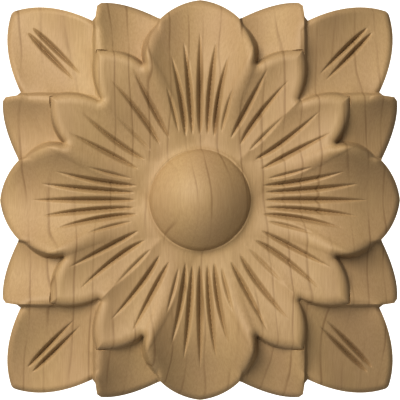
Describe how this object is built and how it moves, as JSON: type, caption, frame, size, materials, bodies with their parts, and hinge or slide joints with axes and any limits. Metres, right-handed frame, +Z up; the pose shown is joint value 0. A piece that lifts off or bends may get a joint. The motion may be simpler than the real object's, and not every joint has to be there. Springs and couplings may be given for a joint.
{
  "type": "carved wooden rosette",
  "caption": "Square carved wooden rosette: a domed boss in a flower of broad and pointed petals, with side lobes and corner leaves behind, and a flat back for fixing.",
  "frame": {"origin": "centre of the flat back", "axes": "+Y points out of the flat back, into the surface the rosette is fixed to, so the carved front faces -Y; +Z is up along the grain"},
  "size_m": [0.1016, 0.0222, 0.1016],
  "materials": {
    "maple": "sanded, unfinished"
  },
  "bodies": {
    "root": {"rosette": "maple"}
  },
  "joints": []
}
